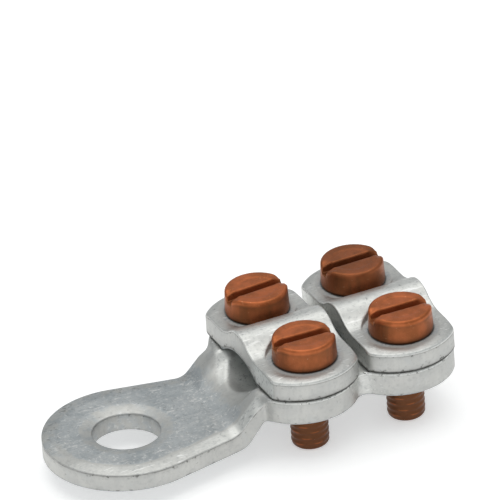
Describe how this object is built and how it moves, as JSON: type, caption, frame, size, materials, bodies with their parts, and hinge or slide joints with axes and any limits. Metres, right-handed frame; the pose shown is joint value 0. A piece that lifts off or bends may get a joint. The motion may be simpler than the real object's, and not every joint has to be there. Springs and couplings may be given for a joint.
{
  "type": "clamp cable lug",
  "caption": "Bolted clamp cable lug: a flat palm with a stud hole and a trough-shaped bed on which arched saddles are screwed down over a bare cable.",
  "frame": {"origin": "centre of the stud hole at the palm's contact face", "axes": "+X from the palm along the cable, +Z along the stud hole, from the contact face to the screw heads"},
  "size_m": [0.064, 0.0308, 0.0189],
  "materials": {
    "tinned_metal": "tinned forging, satin and mottled",
    "screw_bronze": "copper-brown bronze, satin"
  },
  "bodies": {
    "lug": {"lug_body": "tinned_metal"},
    "front_clamp": {"front_saddle": "tinned_metal"},
    "rear_clamp": {"rear_saddle": "tinned_metal"},
    "front_left_screw": {"front_left_screw": "screw_bronze"},
    "front_right_screw": {"front_right_screw": "screw_bronze"},
    "rear_left_screw": {"rear_left_screw": "screw_bronze"},
    "rear_right_screw": {"rear_right_screw": "screw_bronze"}
  },
  "joints": [
    {"name": "front_saddle_lift", "type": "slide", "parent": "lug", "child": "front_clamp", "axis": [0, 0, 1], "range_m": [0, 0.007]},
    {"name": "front_left_screw_turn", "type": "hinge", "parent": "front_clamp", "child": "front_left_screw", "pos_m": [0.02675, 0.0084, 0.012], "axis": [0, 0, 1], "range_deg": [0, 2520]},
    {"name": "front_right_screw_turn", "type": "hinge", "parent": "front_clamp", "child": "front_right_screw", "pos_m": [0.02675, -0.0084, 0.012], "axis": [0, 0, 1], "range_deg": [0, 2520]},
    {"name": "rear_saddle_lift", "type": "slide", "parent": "lug", "child": "rear_clamp", "axis": [0, 0, 1], "range_m": [0, 0.007]},
    {"name": "rear_left_screw_turn", "type": "hinge", "parent": "rear_clamp", "child": "rear_left_screw", "pos_m": [0.04305, 0.0084, 0.012], "axis": [0, 0, 1], "range_deg": [0, 2520]},
    {"name": "rear_right_screw_turn", "type": "hinge", "parent": "rear_clamp", "child": "rear_right_screw", "pos_m": [0.04305, -0.0084, 0.012], "axis": [0, 0, 1], "range_deg": [0, 2520]}
  ],
  "couplings": [
    {"joint": "front_left_screw_turn", "follows": "front_saddle_lift", "rad_per_m": 6283.2},
    {"joint": "front_right_screw_turn", "follows": "front_saddle_lift", "rad_per_m": 6283.2},
    {"joint": "rear_left_screw_turn", "follows": "rear_saddle_lift", "rad_per_m": 6283.2},
    {"joint": "rear_right_screw_turn", "follows": "rear_saddle_lift", "rad_per_m": 6283.2}
  ]
}
